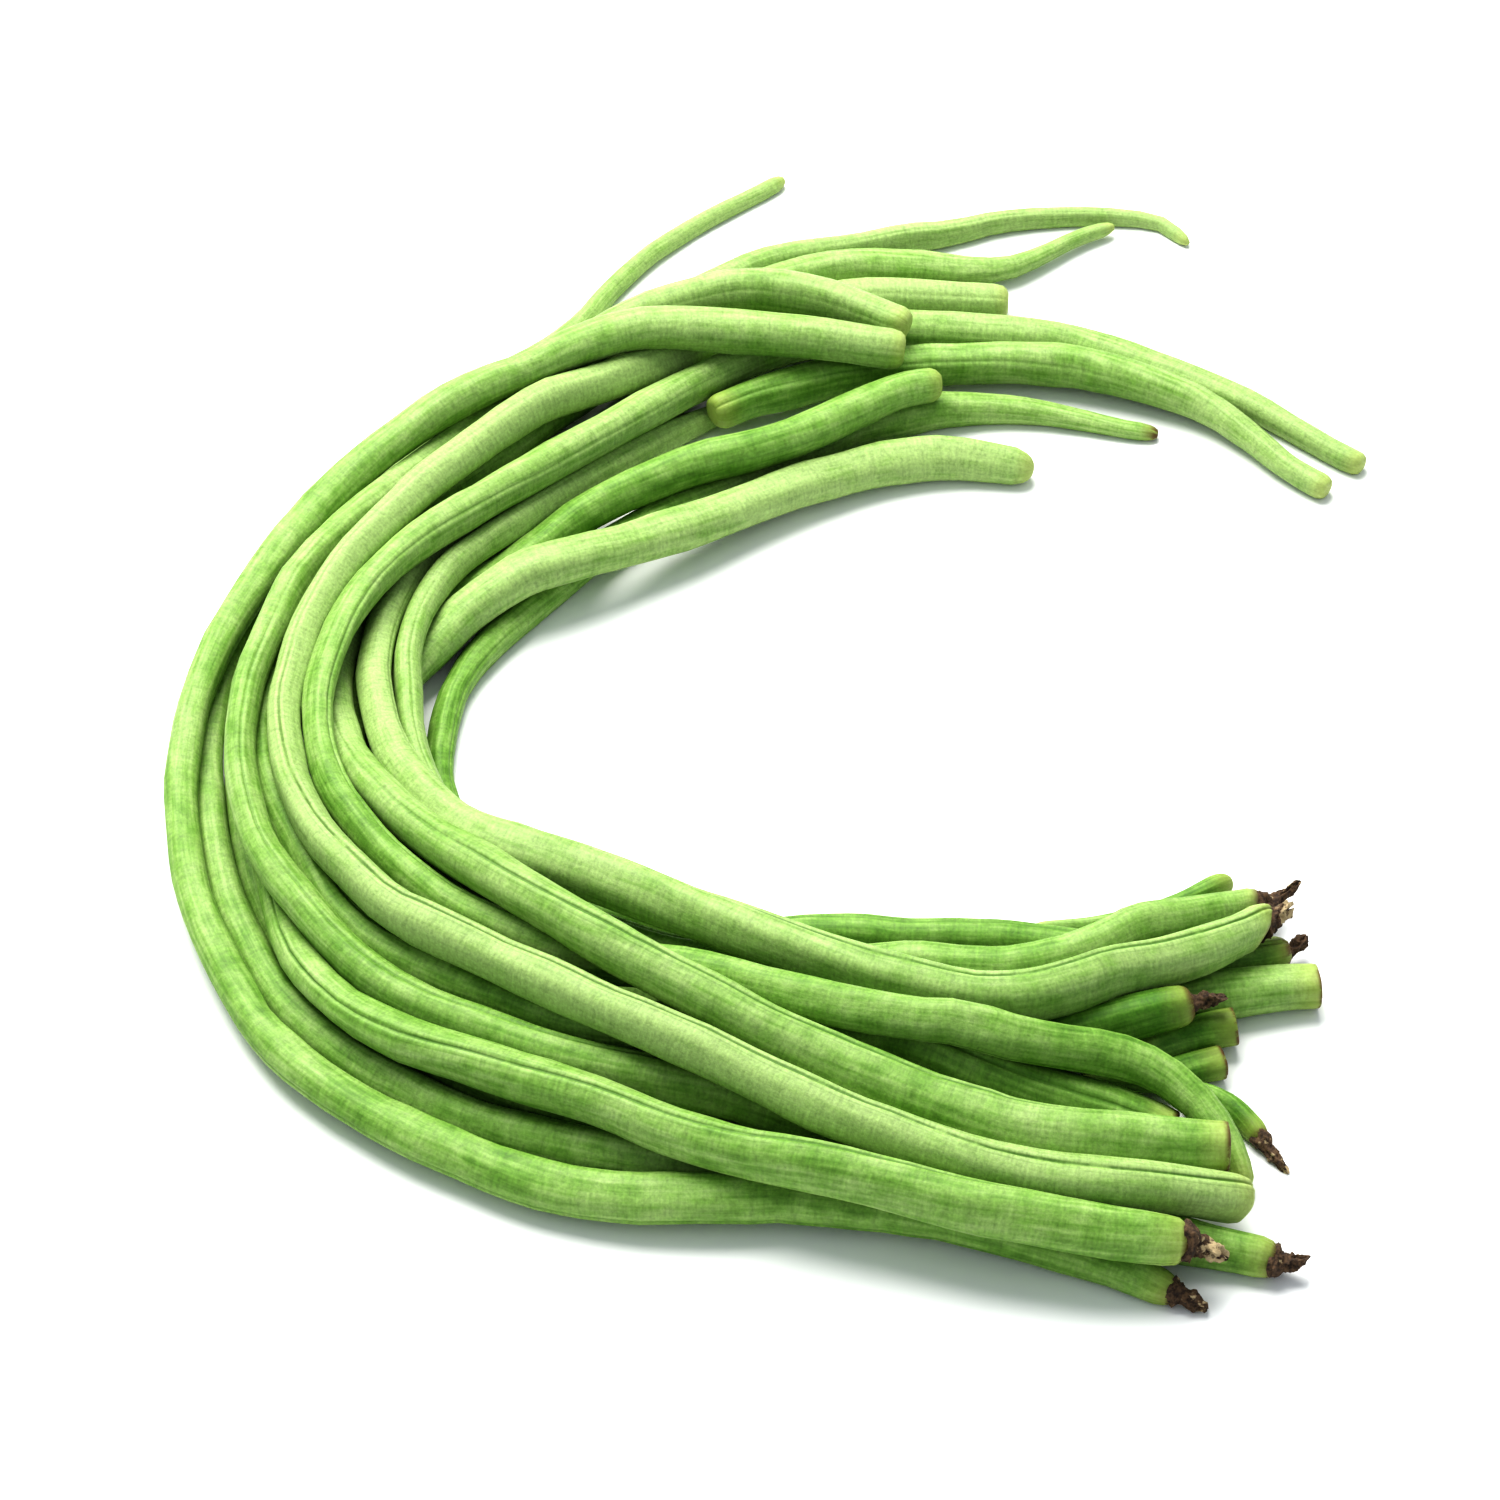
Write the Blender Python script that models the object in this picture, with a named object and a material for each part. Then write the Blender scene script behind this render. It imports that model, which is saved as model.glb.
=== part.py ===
# A loose bunch of fresh yardlong bean pods, lying on a table and bent into an open C.
# The stem ends are at +X in front, the tips at +X behind, and the table is the plane z = 0.
# The finished objects are in metres. The layout below works in millimetres.

import math

import bpy
import numpy as np

OBJECT_NAME = "yardlong_bean_bunch"

# Driving dimensions, in millimetres
POD_RADIUS = 4.5
RING_SPACING = 9.0
POD_GAP = 0.6

# The length over which a stem end narrows, and a tip where its pod gives no taper of its own
SHOULDER = 22.0
TAPER = 26.0

# The last ring of a pod is narrower than the pod, and the ring before it stands this far in
RIM_LENGTH = 1.2
RIM_WIDTH = 0.8

# A pod is slimmer where it runs away from the viewer, round the bend of the C
BEND_SLIMMING = 0.34

# The swellings over the seeds, which start at another phase on each pod
SWELLING_LENGTH = 27.0
SWELLING_HEIGHT = 0.035
SWELLING_PHASE = 2.4

# A calyx is four rings of these widths at these shares of its length. It starts clear of its pod,
# and leans from the line of the pod by this share of the direction given for it.
CALYX_GAP = 0.35
CALYX_SHARES = np.array([0.0, 0.22, 0.55, 1.0])
CALYX_WIDTHS = np.array([0.9, 1.0, 0.62, 0.3])
CALYX_LEAN = 0.8

# The tube's section is an octagon that rests on one of its flats
SECTION_RESOLUTION = 2
SECTION_SIDES = 8
FLAT_DOWN = math.pi / SECTION_SIDES
FLAT_HEIGHT = math.cos(math.pi / SECTION_SIDES)

# The viewpoint from which the routes are sighted: in front, looking down along +Y
VIEW_ELEVATION = math.radians(45.0)
VIEW_DISTANCE = 1100.0
VIEW_CENTRE = 750.0
VIEW_UNIT = 0.19

# A smooth course has this many samples between two points of its route
COURSE_SAMPLES = 12

# The settling of the pods onto the table and each other. In each round the pods sink a little and
# straighten. Then overlapping neighbours part, at first along the line of sight.
STEP_LENGTH = 3.0
SETTLE_ROUNDS = 420
PAIRING_ROUNDS = 15
PULL = 0.02
SIGHT_HOLD = 0.15
BENDING_PASSES = 6
BENDING_SHARE = 0.5
PUSHES = 6
PUSH_STRENGTH = 1.3
MOST_PUSH = 0.6
SIGHT_SHARE = 0.5
LEAST_FREEDOM = 0.6
REACH = 14.0

# Each route runs from stem end to tip. A point is a column and a row in the 1500-unit square
# view, and the height of the pod's middle over the table in millimetres.
PODS = {
    "pod_01": {
        "radius": 0.96,
        "stem": 0.66,
        "tip": 0.92,
        "route": [
            (1176, 1293, 3), (1120, 1266, 4), (1060, 1242, 4), (940, 1210, 4), (800, 1193, 4),
            (650, 1197, 4), (555, 1187, 4), (458, 1155, 4), (359, 1107, 4), (311, 1075, 4),
            (263, 1030, 4), (235, 982, 4), (196, 896, 4), (182, 800, 4), (187, 752, 4), (196, 704, 5),
            (214, 655, 6), (247, 599, 9), (281, 555, 12), (310, 524, 14), (359, 487, 16),
            (410, 444, 17), (458, 416, 18), (509, 389, 18), (560, 361, 18), (650, 336, 17),
            (780, 336, 15), (905, 349, 14),
        ],
    },
    "pod_02": {
        "radius": 0.94,
        "stem": 0.84,
        "tip": 0.42,
        "taper": 130.0,
        "route": [
            (1276, 1262, 4), (1232, 1248, 4), (1180, 1230, 4), (1090, 1208, 4), (980, 1188, 4),
            (850, 1172, 4), (740, 1163, 4), (640, 1159, 4), (552, 1143, 4), (457, 1116, 4),
            (366, 1070, 4), (317, 1034, 4), (275, 990, 4), (238, 908, 4), (218, 830, 4), (208, 755, 4),
            (215, 700, 4), (230, 655, 4), (250, 618, 4), (285, 575, 4), (335, 520, 4), (400, 465, 4),
            (470, 410, 4), (530, 365, 4),
            (575, 332, 4), (610, 291, 3), (660, 248, 3), (720, 213, 3), (785, 180, 3),
        ],
    },
    "pod_03": {
        "radius": 1.0,
        "stem": 0.9,
        "tip": 0.35,
        "taper": 130.0,
        "route": [
            (1187, 1242, 11), (1150, 1238, 12), (1100, 1230, 12), (1000, 1212, 12), (900, 1188, 12),
            (800, 1165, 12), (700, 1141, 12), (600, 1101, 12), (500, 1068, 12), (400, 1033, 11),
            (350, 1003, 9), (305, 955, 7), (280, 905, 5), (268, 850, 4), (268, 790, 4), (275, 730, 4),
            (288, 680, 4), (312, 630, 4), (350, 575, 4), (400, 520, 4), (460, 466, 4), (530, 405, 4),
            (605, 352, 4), (680, 308, 4), (760, 268, 4), (840, 253, 5), (900, 240, 5), (950, 233, 6),
            (1000, 222, 6), (1050, 217, 7), (1100, 217, 7), (1145, 219, 7), (1172, 229, 7), (1188, 244, 6),
        ],
    },
    "pod_04": {
        "radius": 0.86,
        "stem": 0.75,
        "tip": 0.6,
        "route": [
            (735, 1143, 4), (700, 1136, 4), (650, 1127, 4), (600, 1116, 4),
            (500, 1092, 4), (450, 1070, 4), (400, 1046, 4), (350, 1014, 4), (305, 970, 4),
            (270, 915, 3), (250, 860, 3), (242, 810, 3), (240, 760, 3), (246, 710, 3), (258, 665, 3),
        ],
    },
    "pod_05": {
        "radius": 0.98,
        "stem": 0.85,
        "tip": 0.9,
        "route": [
            (1185, 1208, 5), (1150, 1196, 5), (1100, 1178, 5), (1000, 1158, 5), (900, 1143, 7),
            (800, 1122, 9),
            (700, 1091, 9), (600, 1065, 8), (500, 1038, 8), (400, 1001, 9), (340, 957, 9),
            (295, 905, 9), (262, 855, 10), (246, 800, 11), (241, 750, 11), (248, 695, 11),
            (267, 650, 12), (300, 600, 12), (340, 550, 12), (388, 503, 12), (440, 457, 12),
            (500, 410, 12), (565, 360, 11), (620, 327, 10), (690, 305, 9), (760, 296, 9),
            (835, 305, 10), (908, 330, 12),
        ],
    },
    "pod_06": {
        "radius": 0.95,
        "stem": 0.85,
        "tip": 0.35,
        "taper": 70.0,
        "route": [
            (1176, 1129, 5), (1130, 1114, 6), (1050, 1093, 7), (950, 1065, 9), (880, 1045, 11),
            (800, 1037, 12), (720, 1037, 12), (650, 1038, 10), (585, 1034, 8), (500, 1001, 7),
            (400, 962, 6), (350, 930, 6), (318, 890, 7), (290, 850, 8), (268, 800, 9),
            (259, 750, 9), (264, 700, 8), (280, 650, 8), (310, 604, 8), (350, 560, 9),
            (400, 517, 10), (455, 476, 11), (520, 430, 11), (590, 384, 11), (660, 340, 11),
            (740, 294, 9), (830, 269, 6), (910, 267, 4), (960, 271, 3), (1000, 270, 3), (1030, 260, 3),
            (1058, 247, 3), (1088, 234, 3), (1114, 226, 3),
        ],
    },
    "pod_07": {
        "radius": 1.02,
        "stem": 0.92,
        "tip": 0.8,
        "route": [
            (1246, 1199, 12), (1200, 1197, 13), (1100, 1188, 14), (1000, 1169, 14), (900, 1136, 15),
            (800, 1096, 16), (700, 1046, 16), (600, 1005, 15), (500, 959, 15), (400, 909, 15),
            (360, 876, 15), (327, 838, 15), (302, 800, 15), (287, 750, 15), (286, 700, 15),
            (300, 650, 15), (325, 600, 15), (362, 550, 16), (410, 502, 17), (450, 468, 17),
            (500, 430, 17), (550, 399, 16), (600, 380, 14), (650, 360, 11), (710, 337, 8),
            (780, 314, 6), (850, 301, 6), (920, 300, 7), (1008, 303, 8),
        ],
    },
    "pod_08": {
        "radius": 1.08,
        "stem": 0.95,
        "tip": 0.7,
        "route": [
            (1228, 1152, 14), (1150, 1153, 14), (1080, 1148, 14), (1000, 1128, 14), (900, 1091, 15),
            (800, 1047, 17), (700, 996, 18), (600, 944, 18), (550, 916, 18), (500, 886, 18),
            (440, 846, 18), (388, 803, 17), (352, 760, 15), (337, 715, 12), (335, 670, 11),
            (350, 615, 10), (393, 565, 7), (450, 522, 5), (520, 480, 4),
        ],
    },
    "pod_09": {
        "radius": 0.98,
        "stem": 0.9,
        "tip": 0.62,
        "taper": 90.0,
        "route": [
            (1243, 1186, 5), (1234, 1158, 6), (1213, 1123, 9), (1186, 1093, 12), (1150, 1069, 13),
            (1100, 1054, 14), (1050, 1050, 15), (1000, 1044, 16), (900, 1026, 17), (800, 1004, 16),
            (720, 978, 14), (650, 963, 13), (600, 958, 12), (550, 945, 12), (500, 922, 13),
            (450, 898, 13), (400, 862, 14), (362, 820, 16), (336, 785, 17), (322, 750, 18),
            (318, 700, 19), (330, 650, 19), (352, 600, 18), (395, 555, 17), (450, 520, 16),
            (520, 480, 15), (600, 436, 14), (650, 408, 13), (700, 381, 12), (750, 356, 9),
            (800, 339, 8), (860, 329, 7), (930, 331, 6), (1010, 337, 6), (1070, 345, 6),
            (1130, 363, 6), (1190, 383, 6), (1250, 406, 6), (1300, 433, 6), (1335, 453, 6),
            (1362, 466, 6),
        ],
    },
    "pod_10": {
        "radius": 1.04,
        "stem": 0.92,
        "tip": 0.6,
        "route": [
            (1272, 918, 17), (1245, 934, 18), (1200, 957, 19), (1150, 975, 19), (1100, 988, 19),
            (1050, 1000, 18), (1000, 1001, 17), (950, 992, 16), (900, 980, 15), (850, 966, 15),
            (800, 949, 15), (740, 930, 14), (680, 908, 13), (600, 880, 13), (550, 867, 14),
            (500, 855, 15), (465, 836, 16), (425, 801, 16), (393, 755, 15), (382, 700, 14),
            (386, 650, 12), (420, 565, 9), (460, 530, 8), (520, 490, 7), (600, 445, 6),
            (680, 405, 5),
        ],
    },
    "pod_11": {
        "radius": 0.84,
        "stem": 0.9,
        "tip": 0.5,
        "route": [
            (1264, 905, 12), (1235, 914, 12), (1200, 925, 12), (1150, 943, 11), (1100, 959, 10),
            (1050, 970, 9), (1000, 974, 8), (950, 970, 8), (900, 966, 7), (850, 970, 6), (790, 974, 6),
            (740, 970, 6), (690, 965, 6), (640, 958, 6), (590, 943, 6), (540, 920, 6), (490, 882, 7),
            (455, 840, 8), (430, 798, 9), (412, 750, 11), (404, 700, 12), (406, 650, 13),
            (430, 600, 13), (465, 562, 13), (500, 535, 11), (550, 500, 8), (610, 465, 5), (680, 430, 4),
            (740, 405, 4),
        ],
    },
    "pod_12": {
        "radius": 0.88,
        "stem": 0.8,
        "tip": 0.4,
        "taper": 60.0,
        "route": [
            (1288, 951, 5), (1245, 957, 5), (1190, 955, 4), (1130, 946, 4), (1080, 941, 4),
            (1000, 940, 4), (920, 939, 4), (850, 936, 4), (790, 938, 4), (740, 942, 4),
            (690, 938, 4), (650, 930, 4), (610, 920, 4), (570, 912, 4), (525, 893, 4),
            (485, 862, 4), (455, 825, 4), (440, 785, 4), (440, 745, 4), (450, 700, 4),
            (470, 652, 4), (508, 610, 4), (560, 570, 4), (620, 534, 4), (690, 498, 4),
            (760, 468, 4), (830, 438, 4), (890, 416, 4), (950, 406, 5), (1010, 409, 5),
            (1060, 416, 5), (1110, 427, 5), (1158, 434, 5),
        ],
    },
    "pod_13": {
        "radius": 1.0,
        "stem": 0.9,
        "tip": 0.78,
        "route": [
            (1318, 987, 5), (1250, 992, 5), (1190, 999, 4), (1120, 1008, 4), (1000, 1016, 4),
            (900, 1011, 4), (800, 1014, 4), (700, 1006, 4), (600, 972, 4), (540, 935, 4), (480, 890, 4),
            (430, 845, 4), (400, 795, 4), (388, 745, 4), (394, 690, 4), (425, 645, 6), (470, 612, 9),
            (520, 588, 11), (575, 568, 12), (650, 541, 12), (700, 524, 12), (750, 505, 12),
            (800, 486, 11), (850, 472, 10), (900, 462, 8), (950, 458, 6), (1000, 464, 5), (1034, 469, 5),
        ],
    },
    "pod_14": {
        "radius": 0.96,
        "stem": 0.85,
        "tip": 0.8,
        "route": [
            (1192, 1004, 9), (1150, 1014, 9), (1080, 1027, 8), (1010, 1047, 5), (950, 1058, 4),
            (900, 1064, 4), (800, 1069, 4), (700, 1052, 4), (600, 1010, 4), (540, 970, 4),
            (470, 915, 4), (410, 860, 4), (368, 800, 4), (350, 745, 4), (358, 690, 5), (390, 645, 7),
            (440, 604, 9), (510, 565, 11), (550, 533, 11), (600, 504, 10), (650, 484, 8), (700, 469, 7),
            (750, 456, 7), (800, 437, 8), (850, 415, 8), (900, 393, 9), (940, 385, 9),
        ],
    },
    "pod_15": {
        "radius": 0.66,
        "stem": 0.9,
        "tip": 0.3,
        "taper": 45.0,
        "route": [
            (1232, 881, 6), (1206, 893, 5), (1180, 905, 4), (1150, 914, 3), (1110, 922, 3),
            (1070, 926, 2), (1035, 928, 2),
        ],
    },
    "pod_16": {
        "radius": 0.82,
        "stem": 0.92,
        "tip": 0.9,
        "route": [
            (1235, 1024, 6), (1200, 1028, 6), (1165, 1038, 5), (1130, 1048, 4),
        ],
    },
    "pod_17": {
        "radius": 0.82,
        "stem": 0.92,
        "tip": 0.6,
        "taper": 40.0,
        "route": [
            (1222, 1062, 4), (1180, 1066, 4), (1140, 1068, 4), (1085, 1064, 3),
        ],
    },
    "pod_18": {
        "radius": 0.95,
        "stem": 0.9,
        "tip": 0.66,
        "taper": 60.0,
        "route": [
            (712, 413, 7), (760, 396, 7), (810, 383, 7), (860, 371, 7), (920, 364, 6),
            (1000, 362, 5), (1060, 363, 5), (1110, 371, 5), (1160, 386, 5), (1205, 405, 5),
            (1250, 436, 4), (1295, 472, 4), (1328, 490, 4),
        ],
    },
    "pod_19": {
        "radius": 0.82,
        "stem": 0.75,
        "tip": 0.8,
        "route": [(1262, 1140, 4), (1240, 1114, 4), (1212, 1095, 4), (1180, 1090, 4)],
    },
}

# The dried flower cups and stalks: the pod, the lean across and up the view, the length and thickness
CALYXES = {
    "calyx_01": {"pod": "pod_01", "lean": (0.6, -0.4), "length": 3.2, "width": 0.8},
    "calyx_02": {"pod": "pod_02", "lean": (0.6, 0.6), "length": 3.4, "width": 0.6},
    "calyx_03": {"pod": "pod_03", "lean": (0.5, -0.6), "length": 4.2, "width": 0.6},
    "calyx_10": {"pod": "pod_10", "lean": (0.6, 0.3), "length": 2.4, "width": 0.7},
    "calyx_11": {"pod": "pod_11", "lean": (0.6, 0.9), "length": 4.6, "width": 0.5},
    "calyx_12": {"pod": "pod_12", "lean": (0.2, 0.9), "length": 2.6, "width": 0.6},
    "calyx_14": {"pod": "pod_14", "lean": (0.9, 0.0), "length": 3.0, "width": 0.6},
    "calyx_19": {"pod": "pod_19", "lean": (0.4, -0.7), "length": 4.4, "width": 0.85},
}


def sight_direction(column, row):
    """The direction in which the viewer sees this column and row."""
    across = (column - VIEW_CENTRE) * VIEW_UNIT / VIEW_DISTANCE
    up = (VIEW_CENTRE - row) * VIEW_UNIT / VIEW_DISTANCE
    sine = math.sin(VIEW_ELEVATION)
    cosine = math.cos(VIEW_ELEVATION)
    return np.array([across, cosine + up * sine, up * cosine - sine])


VIEWER = VIEW_DISTANCE * np.array([0.0, -math.cos(VIEW_ELEVATION), math.sin(VIEW_ELEVATION)])


def sighted(column, row, height):
    """The point of a sight line at this height over the table."""
    direction = sight_direction(column, row)
    return VIEWER + direction * (height - VIEWER[2]) / direction[2]


def smooth_course(points):
    """A dense smooth curve through all the points, by cubic pieces."""
    points = np.array(points)
    padded = np.vstack([2 * points[0] - points[1], points, 2 * points[-1] - points[-2]])
    t = np.linspace(0.0, 1.0, COURSE_SAMPLES, endpoint=False)[:, None]
    pieces = []
    for a, b, c, d in zip(padded[:-3], padded[1:-2], padded[2:-1], padded[3:]):
        bend = (2 * a - 5 * b + 4 * c - d) * t**2 + (3 * b - a - 3 * c + d) * t**3
        pieces.append(0.5 * (2 * b + (c - a) * t + bend))
    return np.vstack(pieces + [points[-1:]])


def lengths_along(course):
    """How far each point of the course is from its start."""
    steps = np.linalg.norm(np.diff(course, axis=0), axis=1)
    return np.concatenate([[0.0], np.cumsum(steps)])


def at_stations(course, stations):
    """The points of the course at these distances from its start."""
    along = lengths_along(course)
    return np.stack([np.interp(stations, along, course[:, axis]) for axis in range(3)], axis=1)


def even_stations(length, spacing):
    return np.linspace(0.0, length, max(4, round(length / spacing)) + 1)


def eased(value):
    value = np.clip(value, 0.0, 1.0)
    return value * value * (3 - 2 * value)


def pod_radii(number, shape, course, stations):
    """The pod's radius at each station: its taper, the slimmer bend and the swellings over its seeds."""
    along = lengths_along(course)
    heading = np.gradient(course[:, :2], axis=0)
    away = heading[:, 1] ** 2 / np.maximum((heading**2).sum(axis=1), 1e-9)
    away = np.interp(stations, along, away)
    from_tip = along[-1] - stations
    stem_ease = eased(stations / SHOULDER)
    tip_ease = eased(from_tip / shape.get("taper", TAPER))
    radius = POD_RADIUS * shape["radius"] * (1 - BEND_SLIMMING * away)
    radius *= shape["stem"] + (1 - shape["stem"]) * stem_ease
    radius *= shape["tip"] + (1 - shape["tip"]) * tip_ease
    seeds = np.sin(2 * math.pi * stations / SWELLING_LENGTH + number * SWELLING_PHASE)
    return radius * (1 + SWELLING_HEIGHT * seeds * tip_ease)


def near_pairs(points, owner):
    """The pairs of points of different pods that lie within reach of each other."""
    first = []
    second = []
    for pod in range(owner.max()):
        mine = np.flatnonzero(owner == pod)
        later = np.flatnonzero(owner > pod)
        gaps = np.linalg.norm(points[mine][:, None] - points[later][None], axis=2)
        a, b = np.nonzero(gaps < REACH)
        first.append(mine[a])
        second.append(later[b])
    return np.concatenate(first), np.concatenate(second)


def pushed_apart(points, radii, sights, pairs, sight_share):
    """The points after overlapping neighbours have moved apart, by this share along the line of sight."""
    first, second = pairs
    offset = points[first] - points[second]
    needed = radii[first] + radii[second] + POD_GAP
    touching = np.linalg.norm(offset, axis=1) < needed
    first = first[touching]
    second = second[touching]
    offset = offset[touching]
    needed = needed[touching]
    gap = np.maximum(np.linalg.norm(offset, axis=1), 1e-6)
    sight = sights[first]
    depth = (offset * sight).sum(axis=1)
    side = np.sqrt(np.maximum(gap**2 - depth**2, 0.0))
    deeper = np.sqrt(np.maximum(needed**2 - side**2, 0.0)) - np.abs(depth)
    deeper = np.minimum(deeper, MOST_PUSH) * np.where(depth < 0, -1.0, 1.0)
    straight = PUSH_STRENGTH * (1 - sight_share) * (needed - gap) / gap
    push = 0.5 * (sight * (sight_share * deeper)[:, None] + offset * straight[:, None])
    count = np.bincount(first, minlength=len(points)) + np.bincount(second, minlength=len(points))
    moved = points.copy()
    for axis in range(3):
        total = np.bincount(first, push[:, axis], len(points))
        total -= np.bincount(second, push[:, axis], len(points))
        moved[:, axis] += total / np.maximum(count, 1)
    return moved


def kept_on_table(points, radii, sights):
    """Moves a point that has sunk into the table back up its line of sight."""
    lift = np.maximum(FLAT_HEIGHT * radii - points[:, 2], 0.0)
    return points + sights * (lift / sights[:, 2])[:, None]


def evened(values, inside, share, passes):
    """The values after each has moved toward the middle of its two neighbours along the pod."""
    values = values.copy()
    for _ in range(passes):
        values[inside] += share * (0.5 * (values[inside - 1] + values[inside + 1]) - values[inside])
    return values


def settled(courses, radii):
    """Lets the pods down onto the table and each other, while each stays near its sight lines."""
    sizes = [len(course) for course in courses]
    owner = np.repeat(np.arange(len(courses)), sizes)
    points = np.vstack(courses)
    radius = np.concatenate(radii)
    sights = points - VIEWER
    sights /= np.linalg.norm(sights, axis=1)[:, None]
    inner = np.ones(len(points), bool)
    inner[np.cumsum(sizes) - 1] = False
    inner[np.cumsum([0] + sizes[:-1])] = False
    inside = np.flatnonzero(inner)
    for turn in range(SETTLE_ROUNDS):
        if turn % PAIRING_ROUNDS == 0:
            pairs = near_pairs(points, owner)
        freedom = min(1.0, 3.0 * (1 - turn / SETTLE_ROUNDS))
        share = BENDING_SHARE * min(1.0, 2.0 * freedom)
        sight_share = SIGHT_SHARE * freedom if freedom > LEAST_FREEDOM else 0.0
        aside = points - VIEWER
        aside -= sights * (aside * sights).sum(axis=1)[:, None]
        eased_aside = evened(aside, inside, share, BENDING_PASSES)
        points += (1 - freedom * SIGHT_HOLD) * eased_aside - aside
        height = evened(points[:, 2], inside, share, BENDING_PASSES) - freedom * PULL
        points += sights * ((height - points[:, 2]) / sights[:, 2])[:, None]
        for _ in range(PUSHES):
            points = pushed_apart(points, radius, sights, pairs, sight_share)
            points = kept_on_table(points, radius, sights)
    return np.split(points, np.cumsum(sizes)[:-1])


def pod_courses():
    """The settled middle line and the radii of every pod, in millimetres."""
    courses = []
    radii = []
    for number, shape in enumerate(PODS.values()):
        rough = smooth_course([sighted(*point) for point in shape["route"]])
        stations = even_stations(lengths_along(rough)[-1], STEP_LENGTH)
        courses.append(at_stations(rough, stations))
        radii.append(pod_radii(number, shape, rough, stations))
    return settled(courses, radii), radii


def clear_scene():
    for obj in list(bpy.data.objects):
        bpy.data.objects.remove(obj)


def bunch_collection():
    collection = bpy.data.collections.new(OBJECT_NAME)
    bpy.context.scene.collection.children.link(collection)
    return collection


def skin_material(name, colour, roughness):
    material = bpy.data.materials.new(name)
    material.use_nodes = True
    shader = material.node_tree.nodes["Principled BSDF"]
    shader.inputs["Base Color"].default_value = (*colour, 1.0)
    shader.inputs["Roughness"].default_value = roughness
    shader.inputs["Metallic"].default_value = 0.0
    return material


def tube(name, points, radii, material, collection):
    """A closed tube with eight sides and filled ends, one of its flats facing down."""
    curve = bpy.data.curves.new(name, "CURVE")
    curve.dimensions = "3D"
    curve.twist_mode = "Z_UP"
    curve.bevel_depth = POD_RADIUS / 1000
    curve.bevel_resolution = SECTION_RESOLUTION
    curve.use_fill_caps = True
    spline = curve.splines.new("POLY")
    spline.points.add(len(points) - 1)
    for place, position, radius in zip(spline.points, points, radii):
        place.co = (*(position / 1000), 1.0)
        place.radius = radius / POD_RADIUS
        place.tilt = FLAT_DOWN
    spline.use_smooth = True
    curve.materials.append(material)
    obj = bpy.data.objects.new(name, curve)
    collection.objects.link(obj)
    return obj


def make_pod(name, course, radii, material, collection):
    """One pod, with a narrower ring at each end that rounds its rim."""
    length = lengths_along(course)[-1]
    stations = even_stations(length, RING_SPACING)
    rims = [[0.0], [RIM_LENGTH], stations[1:-1], [length - RIM_LENGTH], [length]]
    stations = np.concatenate(rims)
    points = at_stations(course, stations)
    ring_radii = np.interp(stations, lengths_along(course), radii)
    ring_radii[[0, -1]] *= RIM_WIDTH
    return tube(name, points, ring_radii, material, collection)


def make_calyx(name, shape, course, end_radius, material, collection):
    """The dry cup and stalk just clear of its pod's stem end, drawn out and leaning to one side."""
    outward = course[0] - course[1]
    outward /= np.linalg.norm(outward)
    across, up = shape["lean"]
    sine = math.sin(VIEW_ELEVATION)
    cosine = math.cos(VIEW_ELEVATION)
    lean = CALYX_LEAN * np.array([across, up * sine, up * cosine])
    radii = end_radius * shape["width"] * CALYX_WIDTHS
    start = course[0] + CALYX_GAP * outward
    bends = CALYX_SHARES[:, None] * outward + (CALYX_SHARES**2)[:, None] * lean
    points = start + shape["length"] * bends
    points[:, 2] = np.maximum(points[:, 2], radii)
    return tube(name, points, radii, material, collection)


def centred_on_table(objects, collection):
    """Hangs the objects on one empty that brings the bunch's middle over the origin, its foot at zero."""
    bpy.context.view_layer.update()
    depsgraph = bpy.context.evaluated_depsgraph_get()
    low = np.full(3, np.inf)
    high = np.full(3, -np.inf)
    for obj in objects:
        evaluated = obj.evaluated_get(depsgraph)
        corners = np.array([vertex.co for vertex in evaluated.to_mesh().vertices])
        evaluated.to_mesh_clear()
        low = np.minimum(low, corners.min(axis=0))
        high = np.maximum(high, corners.max(axis=0))
    middle = 0.5 * (low + high)
    bunch = bpy.data.objects.new("bunch", None)
    bunch.location = (-middle[0], -middle[1], -low[2])
    collection.objects.link(bunch)
    for obj in objects:
        obj.parent = bunch


def main():
    clear_scene()
    collection = bunch_collection()
    green = skin_material("pod_skin", (0.36, 0.62, 0.12), 0.45)
    brown = skin_material("dry_calyx", (0.09, 0.055, 0.03), 0.8)
    courses, radii = pod_courses()
    courses = dict(zip(PODS, courses))
    radii = dict(zip(PODS, radii))
    objects = [make_pod(name, courses[name], radii[name], green, collection) for name in PODS]
    for name, shape in CALYXES.items():
        pod = shape["pod"]
        objects.append(make_calyx(name, shape, courses[pod], radii[pod][0], brown, collection))
    centred_on_table(objects, collection)


main()
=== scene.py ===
# Yardlong bean bunch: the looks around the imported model, in metres, with +Z up.
import math

import bmesh
import bpy
import numpy as np
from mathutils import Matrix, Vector, noise


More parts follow.
